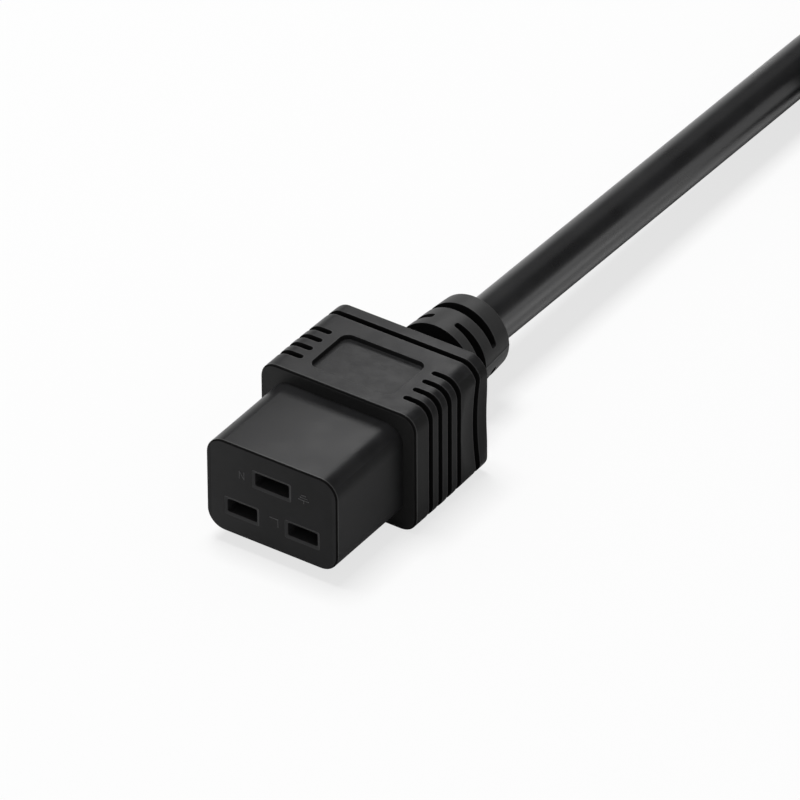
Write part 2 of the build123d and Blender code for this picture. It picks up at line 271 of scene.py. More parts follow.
@dataclass(frozen=True)
class Surface:
    """Plastic, vinyl or metal: one colour, a fine bump, and a shade and roughness that drift a little.

    Stretched noise makes the faint lines of rolled and plated strip, along Y. The mesh can carry painted
    light: a painted highlight above zero and, below zero, painted shade where it is sunk in a groove.
    """

    name: str
    colour: Triple
    roughness: float
    specular: float = 0.4
    metallic: float = 0.0
    shade_span: tuple[float, float] = (0.82, 1.18)
    roughness_drift: float = 0.03
    drift_size: float = 6.0
    drift_octaves: float = 2.0
    grain_size: float = 0.5
    grain_height: float = 0.006
    grain_octaves: float = 3.0
    line_stretch: float = 1.0
    zones: tuple[Zone, ...] = ()
    crown_radius: float = 0.0
    crown_reach: float = 13.0
    # Colour of the painted highlight on lips, and colour and roughness of the painted shade where the surface
    # is sunk.
    highlight_paint_colour: tuple = ()
    shade_paint_colour: Triple = (0.002, 0.002, 0.002)
    sunk_roughness: float = 0.9

    @cache
    def material(self) -> bpy.types.Material:
        """Build the node material, once.

        Returns:
            The material.
        """
        material = bpy.data.materials.new(self.name)
        wiring = Wiring(material)
        place = wiring.add("ShaderNodeTexCoord").outputs["Object"]
        parts = wiring.add("ShaderNodeSeparateXYZ", {"Vector": place}).outputs
        if self.line_stretch != 1.0:
            stretch = {"Vector": place, "Scale": (1.0, self.line_stretch, 1.0)}
            place = wiring.add("ShaderNodeMapping", stretch).outputs["Vector"]
        drift = wiring.noise(place, self.drift_size, self.drift_octaves)
        ends = (tuple(share * part for part in self.colour) for share in self.shade_span)
        shade = wiring.ramp(drift, *ends)
        smooth, rough = self.roughness - self.roughness_drift, self.roughness + self.roughness_drift
        gloss = wiring.spread(drift, smooth, rough, wiring.noise_middle)
        for zone in self.zones:
            inside = zone.inside(wiring, parts)
            shade = wiring.blended(inside, shade, zone.colour)
            gloss = wiring.blended(inside, gloss, zone.roughness)
        # Painted highlight and painted shade, read from the mesh's attribute.
        if self.highlight_paint_colour:
            painted_light = wiring.add("ShaderNodeAttribute", attribute_name=PAINTED_LIGHT).outputs["Fac"]
            sunk = wiring.calculated("MULTIPLY", painted_light, -1.0)
            shade = wiring.blended(painted_light, shade, self.highlight_paint_colour)
            shade = wiring.blended(sunk, shade, self.shade_paint_colour)
            gloss = wiring.blended(sunk, gloss, self.sunk_roughness)
        grain = wiring.noise(place, self.grain_size, self.grain_octaves)
        normal = wiring.bumped(grain, self.grain_height * MILLIMETRE)
        if self.crown_radius:
            normal = self.crowned(wiring, parts["X"], normal)
        inputs = {"Base Color": shade, "Roughness": gloss, "Normal": normal, "Metallic": self.metallic}
        wiring.feed(wiring.nodes["Principled BSDF"], {**inputs, "Specular IOR Level": self.specular})
        return material

    def crowned(self, wiring: Wiring, across: Socket, normal: Socket) -> Socket:
        """Tilt the normals as on a face that bulges: its height falls with the square of the place across.

        Args:
            wiring: Nodes of the material.
            across: Output with the place across.
            normal: Output with the normal to start from.

        Returns:
            The output with the tilted normal.
        """
        square = wiring.calculated("MULTIPLY", across, across)
        held = wiring.calculated("MINIMUM", square, (self.crown_reach * MILLIMETRE) ** 2)
        height = wiring.calculated("MULTIPLY", held, -0.5 / (self.crown_radius * MILLIMETRE))
        return wiring.bumped(height, 1.0, Normal=normal)


FACE = -32.25
SHOULDER = -11.45
AXIS = 12.55
SLOT_FIELD = (0.0, AXIS, 11.0, 7.5)
BETWEEN_NOSE_SIDES = (0.0, AXIS, 13.3, 20.0)
BETWEEN_BLOCK_SIDES = (0.0, AXIS, 15.8, 20.0)
NOSE_ZONES = (
    # Painted shade line and painted highlight line round the front edge.
    Zone((FACE + 0.02, FACE + 0.3), SLOT_FIELD, False, (0.001, 0.001, 0.001), 0.9),
    Zone((FACE + 0.3, FACE + 0.55), SLOT_FIELD, False, (0.04, 0.04, 0.04), 0.35),
    # Lead-ins of the slots, lighter as a painted sheen, and the slots inside, lighter as painted light in
    # their shade.
    Zone((FACE + 0.01, FACE + 0.26), SLOT_FIELD, True, (0.05, 0.05, 0.051), 0.45),
    Zone((FACE + 0.26, FACE + 20.0), SLOT_FIELD, True, (0.035, 0.035, 0.036), 0.45),
    # Sides of the nose, darkened as painted shade.
    Zone((FACE + 0.55, FACE + 21.0), BETWEEN_NOSE_SIDES, False, (0.0105, 0.0105, 0.011), 0.52),
)
GRIP_ZONES = (
    # Shoulder face, lighter as painted light, then the painted shade line and the painted highlight line
    # round its edge.
    Zone((SHOULDER - 0.05, SHOULDER + 0.03), None, True, (0.026, 0.026, 0.026), 0.46),
    Zone((SHOULDER + 0.03, SHOULDER + 0.36), None, True, (0.001, 0.001, 0.001), 0.9),
    Zone((SHOULDER + 0.4, SHOULDER + 0.65), None, True, (0.035, 0.035, 0.035), 0.4),
    # Strain relief, and the block's sides darkened as painted shade.
    Zone((SHOULDER + 23.5, SHOULDER + 45.0), None, True, (0.03, 0.03, 0.03), 0.44),
    Zone((SHOULDER + 0.65, SHOULDER + 23.2), BETWEEN_BLOCK_SIDES, False, (0.010, 0.010, 0.010), 0.60),
)
CORE = {"roughness": 0.35, "drift_size": 3.0, "grain_size": 0.8, "grain_height": 0.004}
STRIP = {
    "specular": 0.5,
    "metallic": 1.0,
    "shade_span": (0.85, 1.0),
    "grain_octaves": 2.0,
    "line_stretch": 0.06,
}
STRIP_DRIFT = 0.2


def strip(name: str, colour: Triple, roughness: float, line_size: float, line_height: float) -> Surface:
    """Finish of rolled or plated strip, whose shade, roughness and bump follow the same faint lines.

    Args:
        name: Name of the material slot.
        colour: Its lightest colour.
        roughness: Its middle roughness.
        line_size: Distance between the lines.
        line_height: Height of the lines.

    Returns:
        The finish.
    """
    lines = {"drift_size": line_size, "grain_size": line_size, "grain_height": line_height}
    return Surface(name, colour, roughness, roughness_drift=STRIP_DRIFT * roughness, **lines, **STRIP)


class Finish(Enum):
    """Finishes of the object, each under the name of its material slot in the record."""

    NOSE = Surface(
        "nose_plastic", (0.012, 0.012, 0.0125), 0.35, specular=0.12, zones=NOSE_ZONES, crown_radius=120.0
    )
    GRIP = Surface(
        "grip_vinyl",
        (0.0125, 0.0125, 0.013),
        0.38,
        specular=0.12,
        roughness_drift=0.05,
        drift_size=3.0,
        grain_size=0.35,
        grain_height=0.014,
        zones=GRIP_ZONES,
        crown_radius=220.0,
        crown_reach=16.0,
        # Painted highlight on the lips of the grooves, slots and recess.
        highlight_paint_colour=(0.04, 0.04, 0.041),
    )
    JACKET = Surface(
        "cord_jacket", (0.0095, 0.0095, 0.010), 0.3, 0.36, drift_size=9.0, grain_size=0.6, grain_height=0.005
    )
    # Raised strokes of the nose's own plastic; their lighter colour is a painted highlight.
    MARK = Surface("nose_plastic", (0.09, 0.09, 0.092), 0.45, specular=0.2)
    MOULD = Surface("mould_plastic", (0.05, 0.05, 0.05), 0.5, 0.3, drift_size=4.0, grain_height=0.01)
    BRASS = strip("contact_brass", (0.70, 0.52, 0.24), 0.32, line_size=0.25, line_height=0.004)
    NICKEL = strip("pin_nickel", (0.66, 0.65, 0.62), 0.25, line_size=0.2, line_height=0.003)
    COPPER = strip("copper_strand", (0.72, 0.36, 0.20), 0.35, line_size=0.3, line_height=0.01)
    BROWN = Surface("core_brown", (0.12, 0.045, 0.02), **CORE)
    BLUE = Surface("core_blue", (0.02, 0.09, 0.36), **CORE)
    GREEN_YELLOW = Surface("core_green_yellow", (0.2, 0.45, 0.05), **CORE)

    def dress(self, *pieces: Piece) -> None:
        """Give pieces this finish all over.

        Args:
            pieces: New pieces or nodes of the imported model.
        """
        for piece in pieces:
            piece.data.materials.clear()
            piece.data.materials.append(self.value.material())


def merged(stations: Array) -> Array:
    """Sorted stations to four decimals, each once."""
    return np.unique(np.round(stations, 4))


def refined(stations: Array, largest_gap: float) -> Array:
    """Add evenly spaced stations wherever two of them lie too far apart.

    Args:
        stations: The stations.
        largest_gap: The most that two neighbours may lie apart.

    Returns:
        Sorted stations.
    """
    stations = merged(stations)
    gaps = np.diff(stations)
    parts = np.maximum(np.ceil(gaps / largest_gap - TINY).astype(int), 1)
    start, step = np.repeat(stations[:-1], parts), np.repeat(gaps / parts, parts)
    number = np.arange(len(start)) - np.repeat(np.cumsum(parts) - parts, parts)
    return np.append(start + number * step, stations[-1])


def filled_to(stations: Array, count: int) -> Array:
    """Halve the widest gap between stations until there are enough of them.

    Args:
        stations: The stations.
        count: How many there are to be.

    Returns:
        Sorted stations.
    """
    stations = merged(stations)
    while len(stations) < count:
        widest = int(np.argmax(np.diff(stations)))
        stations = np.insert(stations, widest + 1, stations[widest : widest + 2].mean())
    return stations


def arc_fall(share: Array) -> Array:
    """Fall of a quarter circle of radius one, from its level start at zero to its upright end at one."""
    return 1 - np.sqrt(1 - np.clip(share, 0, 1) ** 2)


def round_corner(across: Array, along: Array, hold: float, release: float) -> tuple:
    """Bend the square corner of a grid into a round one.

    A point keeps the larger of its two distances from the corner's centre as its straight distance from it:
    wholly up to hold, less and less from there to release, and not at all beyond.

    Args:
        across: Distances from the corner's centre along the rows, negative on the far side.
        along: Distances from the corner's centre along the columns, negative on the far side.
        hold: Distance up to which the corner is fully round.
        release: Distance from which nothing moves.

    Returns:
        The two distances after the bend.
    """
    reach = np.maximum(across, along)
    straight = np.hypot(across, along)
    bent = (across > 0) & (along > 0)
    fade = np.clip((release - reach) / (release - hold), 0, 1)
    scale = np.where(bent, 1 + (reach / np.where(bent, straight, 1) - 1) * fade, 1)
    return across * scale, along * scale


def from_rounded_edge(across: Array, along: Array, corner: float) -> Array:
    """Distance from a rounded rectangle's edge, negative inside, for distances past its corner's centre."""
    outside = np.hypot(np.maximum(across, 0), np.maximum(along, 0))
    return outside + np.minimum(np.maximum(across, along), 0) - corner


@dataclass(frozen=True)
class CutEdge:
    """Section through the edge of a groove: a rolled lip, a steep wall and a filleted floor.

    The lines are where the grid needs its own, as shares of the lip and of the fillet. The painted light is
    in shares too: how far in the painted shade of the wall gives way to the floor's own look, and where the
    painted highlight on the lip begins, is brightest and ceases.
    """

    lip_width: float
    lip_depth: float
    draft: float
    fillet: float
    lip_lines: tuple = (2.2, 1.0, 0.7, 0.4, 0.2, 0.07, 0.0)
    fillet_lines: tuple = (0.0, 0.12, 0.4, 1.0)
    floor_shade_fade: float = 1.4
    lip_highlight_places: tuple = (0.3, 0.7, 2.2)

    def stations(self) -> Array:
        """Distances from the edge that the grid needs, positive outside the groove."""
        floor = -self.draft - self.fillet * np.array(self.fillet_lines)
        return np.r_[self.lip_width * np.array(self.lip_lines), floor]

    def depth_at(self, edge_distance: Array, depth: Array | float) -> Array:
        """Depth below the surface at a distance from the edge.

        The lip is a quarter ellipse, the wall a straight slope and the fillet a quarter circle.

        Args:
            edge_distance: Distance from the edge, positive outside the groove.
            depth: Depth of the floor.

        Returns:
            Depths, zero beyond the lip.
        """
        lip = self.lip_depth * arc_fall(1 - edge_distance / self.lip_width)
        wall_foot = depth - self.fillet
        wall = self.lip_depth + (wall_foot - self.lip_depth) * np.clip(-edge_distance / self.draft, 0, 1)
        floor = depth - self.fillet * arc_fall((edge_distance + self.draft + self.fillet) / self.fillet)
        return np.where(edge_distance >= 0, lip, np.where(edge_distance >= -self.draft, wall, floor))

    def light_and_shade_at(self, edge_distance: Array, floor: float) -> Array:
        """Painted highlight and painted shade of the surface at a distance from the edge.

        One, a painted highlight, on the outer part of the lip, fading to nothing beside it, and minus one,
        painted shade, on the wall.

        Args:
            edge_distance: Distance from the edge, positive outside the groove.
            floor: The value on the floor.

        Returns:
            Values from minus one to one.
        """
        foot = self.draft + self.fillet
        lip = (share * self.lip_width for share in self.lip_highlight_places)
        places = [-self.floor_shade_fade * foot, -foot, 0.0, *lip]
        return np.interp(edge_distance, places, (floor, -1.0, -1.0, 0.0, 1.0, 0.0))


@dataclass
class GripMoulding:
    """Soft moulding in one skin: ribbed block, slotted strain relief and the hollow round what they hold.

    Depths run from the front shoulder of the block towards the lead. The grid bends round a corner fully to a
    hold beyond its radius, and not at all beyond a release. Lines and gaps say how dense the grid is. A step
    of the hollow has its two depths, then the width, height and corner radius of its rounded outline.
    """

    name: str
    node: str
    with_recess: bool
    row_gap: float = 0.8
    top_gap: float = 1.3
    side_gap: float = 1.1
    corner_lines: int = 15
    rim_lines: int = 6
    sharp_angle: float = 50.0
    block_corner: float = 3.5
    corner_change: tuple = ((0.0, 9.5, 22.7), (-0.3, -0.3, 0.5))
    block_length: float = 23.2
    block_edge: float = 0.4
    edge_support: float = 0.06
    groove_centres: tuple = (4.95, 7.95, 10.95, 13.95)
    groove_half_width: float = 0.6
    groove_tip: float = 11.5
    groove_depth: float = 1.1
    groove_edge: CutEdge = CutEdge(0.15, 0.09, 0.03, 0.12)
    groove_floor_lines: tuple = (0.36, 0.48, 0.6)
    groove_hold: float = 0.3
    groove_release: float = 1.45
    rear_groove_centre: float = 20.0
    dish_depth: float = 0.7
    dish_centre: float = 19.05
    dish_radii: tuple = (15.0, 67.0)
    dish_blend: float = 0.06
    dish_blend_reach: float = 20.0
    recess_half: tuple = (8.85, 5.925)
    recess_centre: float = 9.575
    recess_corner: float = 1.75
    recess_corner_lines: int = 7
    recess_depth: float = 0.97
    recess_edge: CutEdge = CutEdge(0.12, 0.06, 0.06, 0.2)
    recess_hold: float = 0.2
    recess_release: float = 2.6
    recess_shade: float = 0.45
    relief_length: float = 20.5
    relief_places: tuple = (0.0, 9.75, 20.5)
    relief_radii: tuple = (8.8, 8.4, 7.7)
    relief_root_fillet: float = 0.35
    relief_end_edge: float = 0.35
    core_radius: float = 5.5
    slot_centres: tuple = (6.07, 10.9, 15.42)
    slot_half_widths: tuple = (1.77, 1.0, 1.06)
    slot_taper: float = 0.5
    slot_corner: float = 0.45
    slot_corner_lines: tuple = (4, 5)
    slot_floor_lines: tuple = (0.0, 0.35)
    slot_edge: CutEdge = CutEdge(0.12, 0.07, 0.04, 0.25)
    slot_hold: float = 0.12
    slot_release: float = 1.0
    bridge_half_angle: float = 16.5
    seam_width: float = 0.09
    seam_height: float = 0.06
    seam_lines: tuple = (0.0, 0.5, 1.0, 2.0)
    bore_radius: float = 4.7
    bore_edge: float = 0.12
    hollow_steps: tuple = (
        (21.45, 18.95, 13.0, 13.0, 6.37),
        (10.45, 3.25, 26.0, 17.5, 3.0),
        (3.25, 1.45, 30.4, 21.9, 4.85),
        (1.45, 0.0, 28.0, 19.5, 3.65),
    )

    def __post_init__(self) -> None:
        """Take the moulding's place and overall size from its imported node."""
        low, high = (np.array(corner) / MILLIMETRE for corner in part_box(self.node))
        self.centre = (low + high) / 2
        self.shoulder = low[1]
        self.block_width, self.block_height = high[0] - low[0], high[2] - low[2]

    def recess_lines(self, half: float) -> Array:
        """Distances from the recess's middle, half its size or so, at which the grid needs a line."""
        corner = np.linspace(-self.recess_corner, 0, self.recess_corner_lines)
        return half + np.r_[self.recess_edge.stations(), corner]

    def quarter_columns(self) -> tuple[Array, Array, Array]:
        """Columns of a quarter of the outline, from the middle of the top round to the middle of the side.

        Returns:
            Share of the flat top passed, angle turned in the corner, share of the flat side still left.
        """
        flat_top = self.block_width / 2 - self.block_corner
        flat_side = self.block_height / 2 - self.block_corner
        groove = self.groove_tip - self.groove_half_width - self.groove_edge.stations()
        recess = self.recess_lines(self.recess_half[0])
        top = refined(np.r_[0, flat_top, self.groove_tip, groove, recess], self.top_gap) / flat_top
        turn = np.radians(np.linspace(0, 90, self.corner_lines))[1:]
        side = np.linspace(1, 0, int(flat_side / self.side_gap) + 1)[1:]
        share_top = np.r_[top, np.ones(len(turn) + len(side))]
        angle = np.r_[np.zeros(len(top)), turn, np.full(len(side), turn[-1])]
        share_side = np.r_[np.ones(len(top) + len(turn)), side]
        return share_top, angle, share_side

    def quarter_angles(self, count: int) -> Array:
        """Angles from the top round to the side at which the strain relief has its columns.

        Args:
            count: How many there are to be.

        Returns:
            Angles in radians.
        """
        corner = np.linspace(-self.slot_corner, 0, self.slot_corner_lines[0])
        reach = np.degrees(np.r_[self.slot_edge.stations(), corner] / self.relief_radii[1])
        seam = 90 - np.degrees(np.array(self.seam_lines) * self.seam_width / self.relief_radii[1])
        upper, lower = self.bridge_half_angle - reach, 90 - self.bridge_half_angle + reach
        return np.radians(filled_to(np.r_[0, seam, upper, lower], count))

    @staticmethod
    def whole_turn(quarter: Array, flip_from: float = 0.0) -> Array:
        """Repeat a quarter of columns round the whole outline.

        Args:
            quarter: Values from the top's middle to the side's middle.
            flip_from: Value that a mirrored quarter is subtracted from, or zero where it just repeats.

        Returns:
            Values all the way round, the first one not repeated.
        """
        for turn in (flip_from, 2 * flip_from):
            mirrored = turn - quarter if flip_from else quarter
            quarter = np.r_[quarter, mirrored[::-1][1:]]
        return quarter[:-1]

    def outline(self, columns: tuple, width: float, height: float, corner: float) -> tuple:
        """Points and outward normals of a rounded rectangle at the columns.

        Args:
            columns: Shares of flat top, corner angles, shares of flat side, and signs of side and upper half.
            width: Width of the rectangle.
            height: Height of the rectangle.
            corner: Radius of its corners.

        Returns:
            Across and upward places, and the across and upward parts of the normals.
        """
        share_top, angle, share_side, sideways, upward = columns
        across = sideways * (share_top * (width / 2 - corner) + corner * np.sin(angle))
        up = upward * (share_side * (height / 2 - corner) + corner * np.cos(angle))
        return across, up, sideways * np.sin(angle), upward * np.cos(angle)

    def block_rows(self) -> tuple[Array, Array]:
        """Depths of the block's rows, and how far each is drawn in by the rounded front and rear rims.

        A row close to each end of a rim keeps the flat faces beside it flat when they are shaded.

        Returns:
            Depths, and distances drawn in.
        """
        floor = -np.array(self.groove_floor_lines)
        reach = self.groove_half_width + np.r_[self.groove_edge.stations(), floor]
        centres = np.array([*self.groove_centres, self.rear_groove_centre])[:, None]
        rim = np.array([self.block_edge, self.block_edge + self.edge_support])
        depths = [(centres + reach).ravel(), (centres - reach).ravel(), rim, self.block_length - rim]
        if self.with_recess:
            recess = self.recess_lines(self.recess_half[1])
            depths += [self.recess_centre - recess, self.recess_centre + recess]
        depths = refined(np.concatenate(depths), self.row_gap)
        turn = np.radians(np.linspace(0, 90, self.rim_lines))[:-1]
        front = np.r_[0, self.block_edge * (1 - np.cos(turn))]
        drawn_in = np.r_[rim[1], self.block_edge * (1 - np.sin(turn))]
        inset = np.r_[drawn_in, np.zeros(len(depths)), drawn_in[::-1]]
        return np.r_[front, depths, self.block_length - front[::-1]], inset

    def block(self, columns: tuple) -> tuple[Array, Array]:
        """Outer surface of the block, front rim to rear rim.

        Each point starts on the rounded rectangle and goes in along its normal by the depth of the groove or
        recess that it lies in, and the sides are hollowed by a torus. The corners are a little sharper in
        front and rounder behind, by a change that is greatest half way round each.

        Args:
            columns: The whole turn, as outline takes it.

        Returns:
            Grid of points, row after row, and the painted light of each: highlight above zero, shade below.
        """
        across, up, normal_across, normal_up = self.outline(
            columns, self.block_width, self.block_height, self.block_corner
        )
        depths, drawn_in = self.block_rows()
        depth, across_grid = np.broadcast_arrays(depths[:, None], across[None, :])
        level = (columns[1] < TINY)[None, :]
        for centre in self.groove_centres:
            inward = self.groove_tip - np.abs(across_grid)
            beside = depth - centre
            near = level & (np.abs(beside) < self.groove_release)
            hold = self.groove_half_width + self.groove_hold
            bent = round_corner(inward, np.abs(beside), hold, self.groove_release)
            across_grid = np.where(near, np.sign(across_grid) * (self.groove_tip - bent[0]), across_grid)
            depth = np.where(near, centre + np.sign(beside) * bent[1], depth)
        upper = level & (columns[4] > 0)[None, :] & self.with_recess
        pivot = np.array(self.recess_half) - self.recess_corner
        beside = depth - self.recess_centre
        past = np.abs(across_grid) - pivot[0], np.abs(beside) - pivot[1]
        bent = round_corner(*past, self.recess_corner + self.recess_hold, self.recess_release)
        across_grid = np.where(upper, np.sign(across_grid) * (pivot[0] + bent[0]), across_grid)
        depth = np.where(upper, self.recess_centre + np.sign(beside) * (pivot[1] + bent[1]), depth)
        past = np.abs(across_grid) - pivot[0], np.abs(depth - self.recess_centre) - pivot[1]
        from_recess = np.where(upper, from_rounded_edge(*past, self.recess_corner), self.recess_release)
        from_groove = self.groove_distance(across_grid, depth)
        # Painted shade on the recess's walls, weaker, and in the grooves; painted highlight on their lips.
        light_and_shade = self.recess_shade * self.recess_edge.light_and_shade_at(from_recess, 0.0)
        light_and_shade = light_and_shade + self.groove_edge.light_and_shade_at(from_groove, -1.0)
        change = np.interp(depths, *self.corner_change)[:, None]
        inset = drawn_in[:, None] + change * (np.sqrt(2) - 1) * np.sin(2 * columns[1]) ** 2
        inset = inset + self.groove_edge.depth_at(from_groove, self.groove_depth)
        inset = inset + self.recess_edge.depth_at(from_recess, self.recess_depth)
        across_grid = self.dished(across_grid, up[None, :], depth)
        return self.placed(across_grid - inset * normal_across, depth, up - inset * normal_up), light_and_shade

    def groove_distance(self, across: Array, depth: Array) -> Array:
        """Distance from the edge of the nearest groove.

        Args:
            across: Places across.
            depth: Depths.

        Returns:
            Distances, negative inside a groove.
        """
        inward = np.maximum(self.groove_tip - np.abs(across), 0)
        nearest = np.abs(depth - self.rear_groove_centre)
        for centre in self.groove_centres:
            nearest = np.minimum(nearest, np.hypot(inward, depth - centre))
        return nearest - self.groove_half_width

    def dished(self, across: Array, up: Array, depth: Array) -> Array:
        """Hollow the sides: the place across is held inside the rim of a torus, with a soft changeover.

        Args:
            across: Places across.
            up: Places above the axis.
            depth: Depths.

        Returns:
            The new places across.
        """
        small, large = self.dish_radii
        rim = self.block_width / 2 - self.dish_depth
        swell = np.sqrt(np.maximum(small**2 - (depth - self.dish_centre) ** 2, 0)) + large - small
        limit = rim + large - np.sqrt(np.maximum(swell**2 - up**2, 0))
        over = (np.abs(across) - limit) / self.dish_blend
        held = np.abs(across) - self.dish_blend * np.logaddexp(0, over)
        return np.sign(across) * np.where(over > -self.dish_blend_reach, held, np.abs(across))

    def relief_profile(self, depth: Array) -> Array:
        """Radius of the strain relief: it follows the circle through its three given radii.

        Args:
            depth: Depths behind the block.

        Returns:
            Radii.
        """
        places, radii = np.array(self.relief_places), np.array(self.relief_radii)
        rows = np.column_stack([places, radii, np.ones(3)])
        twice_place, twice_radius, rest = np.linalg.solve(rows, places**2 + radii**2)
        middle_place, middle_radius = twice_place / 2, twice_radius / 2
        square = rest + middle_place**2 + middle_radius**2
        return middle_radius + np.sqrt(square - (depth - middle_place) ** 2)

    def relief_rows(self) -> Array:
        """Depths of the strain relief's rows, close together at the slots' edges and at both ends.

        Returns:
            Depths behind the block.
        """
        corner = np.linspace(-self.slot_corner, 0, self.slot_corner_lines[1])
        rim_start = self.relief_length - self.relief_end_edge
        rows = [[self.relief_root_fillet, rim_start - self.edge_support, rim_start]]
        edge = np.r_[self.slot_edge.stations(), corner]
        for centre, half in zip(self.slot_centres, self.slot_half_widths):
            reach = np.r_[half + edge, half * np.array(self.slot_floor_lines)]
            rows += [centre - reach, centre + reach]
        turn = np.radians(np.linspace(0, 90, self.rim_lines))[1:]
        root = self.relief_root_fillet * (1 - np.sin(turn))
        rim = self.relief_length - self.relief_end_edge * (1 - np.sin(turn))
        return np.r_[root[::-1], refined(np.concatenate(rows), self.row_gap), rim]

    def bent_to_slots(self, number: int, around: Array, depth: Array) -> tuple:
        """Bend the grid to one row of slots and measure how far each point lies from the nearest slot's edge.

        A slot's edge is a rounded rectangle on the unrolled surface. It narrows towards the bridges at both
        ends, as the blade that moulds it does.

        Args:
            number: Number of the row of slots.
            around: Angles from the top.
            depth: Depths behind the block.

        Returns:
            Angles and depths after the bend, and distances, negative inside a slot.
        """
        centre, widest, corner = self.slot_centres[number], self.slot_half_widths[number], self.slot_corner
        bridge = 90.0 * ((number + 1) % 2)
        from_bridge = (np.degrees(around) - bridge + 90) % 180 - 90
        half = widest - self.slot_taper * (1 - np.abs(np.sin(np.radians(from_bridge))))
        beside = np.abs(depth - centre)
        outer = half + (beside - widest) * (self.slot_release + widest - half) / self.slot_release
        along = np.where(beside < widest, beside * half / widest, outer) - (half - corner)
        past_bridge = np.radians(np.abs(from_bridge) - self.bridge_half_angle) * self.relief_radii[1]
        end = corner - past_bridge
        bent_end, bent_along = round_corner(end, along, corner + self.slot_hold, self.slot_release)
        near = beside < widest + self.slot_release
        shift = np.sign(from_bridge) * (bent_end - end) / self.relief_radii[1]
        around = np.where(near, around - shift, around)
        depth = np.where(near, centre + np.sign(depth - centre) * (half - corner + bent_along), depth)
        from_slot = np.where(near, from_rounded_edge(bent_end, bent_along, corner), self.slot_release)
        return around, depth, from_slot

    def relief(self, angle: Array) -> tuple[Array, Array]:
        """Outer surface of the strain relief, from its root to the rounded rim of its end.

        Each point starts on the turned profile and goes in towards the core by the depth of the slot that it
        lies in. Two faint seams stand proud.

        Args:
            angle: Angles of the columns, from the top.

        Returns:
            Grid of points, row after row, and the painted light of each: highlight above zero, shade below.
        """
        rows = self.relief_rows()[:, None]
        depth, around = np.broadcast_arrays(rows, angle[None, :])
        cut, light_and_shade = np.zeros(depth.shape), np.zeros(depth.shape)
        for number in range(len(self.slot_centres)):
            around, depth, from_slot = self.bent_to_slots(number, around, depth)
            floor = self.relief_profile(depth) - self.core_radius
            cut = cut + self.slot_edge.depth_at(from_slot, floor)
            # Painted shade in the slots and painted highlight on their lips.
            light_and_shade = light_and_shade + self.slot_edge.light_and_shade_at(from_slot, -1.0)
        root_fall = self.relief_root_fillet * arc_fall(1 - rows / self.relief_root_fillet)
        end_fall = self.relief_end_edge * arc_fall((rows - self.relief_length) / self.relief_end_edge + 1)
        from_seam = radians(1) * (np.degrees(around) % 180 - 90) * self.relief_radii[1] / self.seam_width
        seam_end = rows[1 - self.rim_lines]
        seam_fade = 1 - np.clip((rows - seam_end) / (self.relief_length - seam_end), 0, 1)
        seam = self.seam_height * np.exp(-(from_seam**2)) * seam_fade
        radius = self.relief_profile(depth) - cut + root_fall - end_fall + seam
        return self.turned(radius, around, depth + self.block_length), light_and_shade

    def placed(self, across: Array, depth: Array, up: Array) -> Array:
        """Grid of points from places across, behind the shoulder and above the axis."""
        across, depth, up = np.broadcast_arrays(across, depth, up)
        return np.stack([self.centre[0] + across, self.shoulder + depth, self.centre[2] + up], axis=-1)

    def turned(self, radius: Array | float, angle: Array, depth: Array | float) -> Array:
        """Grid of points from radii, angles from the top and places behind the shoulder."""
        return self.placed(radius * np.sin(angle), depth, radius * np.cos(angle))

    def hollow(self, columns: tuple, angle: Array) -> Array:
        """Inner surface, from the end of the lead's bore to the front, step by step.

        Args:
            columns: The whole turn, as outline takes it.
            angle: Angles of the columns in the bore, from the top.

        Returns:
            Grid of points, row after row.
        """
        end, bore = self.block_length + self.relief_length, self.bore_radius
        rows = [
            self.turned(bore + self.bore_edge, angle, end),
            self.turned(bore, angle, end - self.bore_edge),
            self.turned(bore, angle, self.hollow_steps[0][0]),
        ]
        for rear, front, *size in self.hollow_steps:
            across, up, _, _ = self.outline(columns, *size)
            rows += [self.placed(across, rear, up), self.placed(across, front, up)]
        return np.stack(rows)

    def build(self) -> Piece:
        """Make the moulding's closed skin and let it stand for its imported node.

        Returns:
            The moulding.
        """
        quarters = self.quarter_columns()
        angle = self.whole_turn(self.quarter_angles(len(quarters[0])), np.pi)
        sideways = np.where(np.arange(len(angle)) <= len(angle) // 2, 1.0, -1.0)
        upward = np.where(np.cos(angle) > -TINY, 1.0, -1.0)
        columns = (*map(self.whole_turn, quarters), sideways, upward)
        (block, block_light_and_shade), (relief, relief_light_and_shade) = self.block(columns), self.relief(angle)
        grid = np.concatenate([block, relief, self.hollow(columns, angle)])
        faces = grid_faces(*grid.shape[:2], True)
        piece = mesh_object(self.name, grid.reshape(-1, 3), faces, self.sharp_angle)
        # Painted light of each point as a mesh attribute, none on the hollow.
        light_and_shade = np.zeros(grid.shape[:2])
        light_and_shade[: len(block) + len(relief)] = np.concatenate([block_light_and_shade, relief_light_and_shade])
        piece.data.attributes.new(PAINTED_LIGHT, "FLOAT", "POINT").data.foreach_set("value", light_and_shade.ravel())
        Finish.GRIP.dress(piece)
        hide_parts(self.node)
        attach(piece, "root")
        LOG.info("%s: %d points, %d faces", self.name, light_and_shade.size, len(faces))
        return piece


